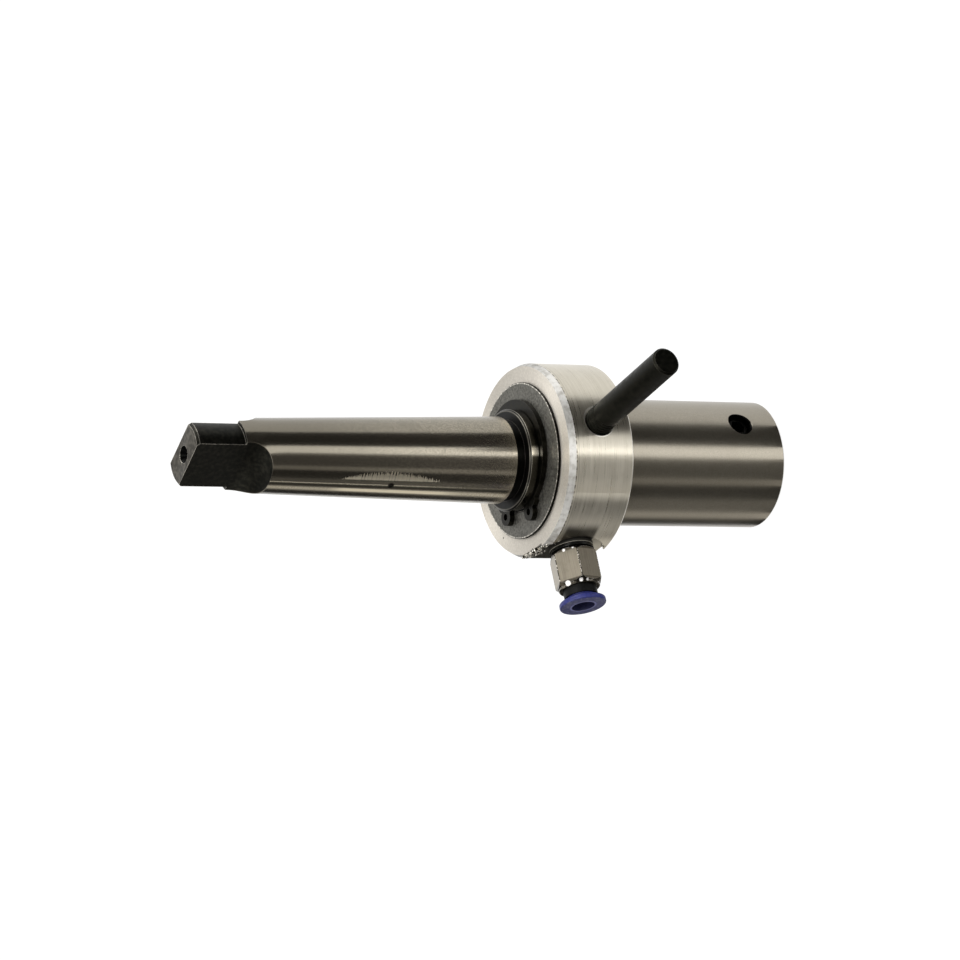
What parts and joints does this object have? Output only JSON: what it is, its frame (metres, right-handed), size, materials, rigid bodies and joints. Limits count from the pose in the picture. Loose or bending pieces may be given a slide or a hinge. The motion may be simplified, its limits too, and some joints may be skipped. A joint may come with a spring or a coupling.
{
  "type": "annular cutter arbor",
  "caption": "Morse taper 3 arbor for Weldon shank annular cutters, with a turning coolant ring, a stop rod and a push-in tube fitting.",
  "frame": {"origin": "centre of the cutter socket's mouth, in the plane of the head's end face", "axes": "+Z along the common axis, from the socket up the Morse taper to the tang; the stop rod points 66 degrees from +X towards -Y, and the tube fitting 156 degrees"},
  "size_m": [0.0722, 0.088, 0.1781],
  "materials": {
    "ground_steel": "ground, slightly warm grey",
    "turned_aluminium": "turned, fine tool marks",
    "washer_steel": "dull, tumbled",
    "black_steel": "black oxide",
    "nickel": "nickel plated brass, satin",
    "black_rubber": "matte",
    "black_plastic": "matte",
    "blue_plastic": "satin",
    "white_plastic": "matte",
    "spring_steel": "bright"
  },
  "bodies": {
    "arbor": {"arbor_body": "ground_steel", "retaining_ring": "black_steel", "seat_washer": "washer_steel", "seat_clip": "spring_steel", "plunger_spring": "spring_steel"},
    "ring": {"coolant_ring": "turned_aluminium", "upper_seal": "black_rubber", "lower_seal": "black_rubber", "stop_rod": "black_steel", "fitting_gasket": "black_rubber", "fitting_body": "nickel", "fitting_guide": "black_plastic", "backing_ring": "white_plastic", "grab_ring": "spring_steel", "tube_seal": "black_rubber"},
    "washer": {"thrust_washer": "washer_steel"},
    "collar": {"release_collar": "blue_plastic"},
    "plunger": {"plunger": "washer_steel", "plunger_seal": "black_rubber"},
    "right_screw": {"right_set_screw": "black_steel"},
    "left_screw": {"left_set_screw": "black_steel"}
  },
  "joints": [
    {"name": "ring_spin", "type": "hinge", "parent": "arbor", "child": "ring", "pos_m": [0, 0, 0.0646], "axis": [0, 0, 1], "continuous": true},
    {"name": "washer_spin", "type": "hinge", "parent": "arbor", "child": "washer", "pos_m": [0, 0, 0.07505], "axis": [0, 0, 1], "continuous": true},
    {"name": "collar_press", "type": "slide", "parent": "ring", "child": "collar", "axis": [0.9135, 0.4067, 0], "range_m": [0, 0.001], "stiffness_N_per_m": 2000, "springref_m": -0.0005},
    {"name": "plunger_lift", "type": "slide", "parent": "arbor", "child": "plunger", "axis": [0, 0, 1], "range_m": [0, 0.008], "stiffness_N_per_m": 1500, "springref_m": -0.004, "deforming": ["plunger_spring"]},
    {"name": "right_screw_travel", "type": "slide", "parent": "arbor", "child": "right_screw", "axis": [-0.6494, 0.7604, 0], "range_m": [-0.0016, 0.004]},
    {"name": "left_screw_travel", "type": "slide", "parent": "arbor", "child": "left_screw", "axis": [-0.7604, -0.6494, 0], "range_m": [-0.0016, 0.004]}
  ]
}
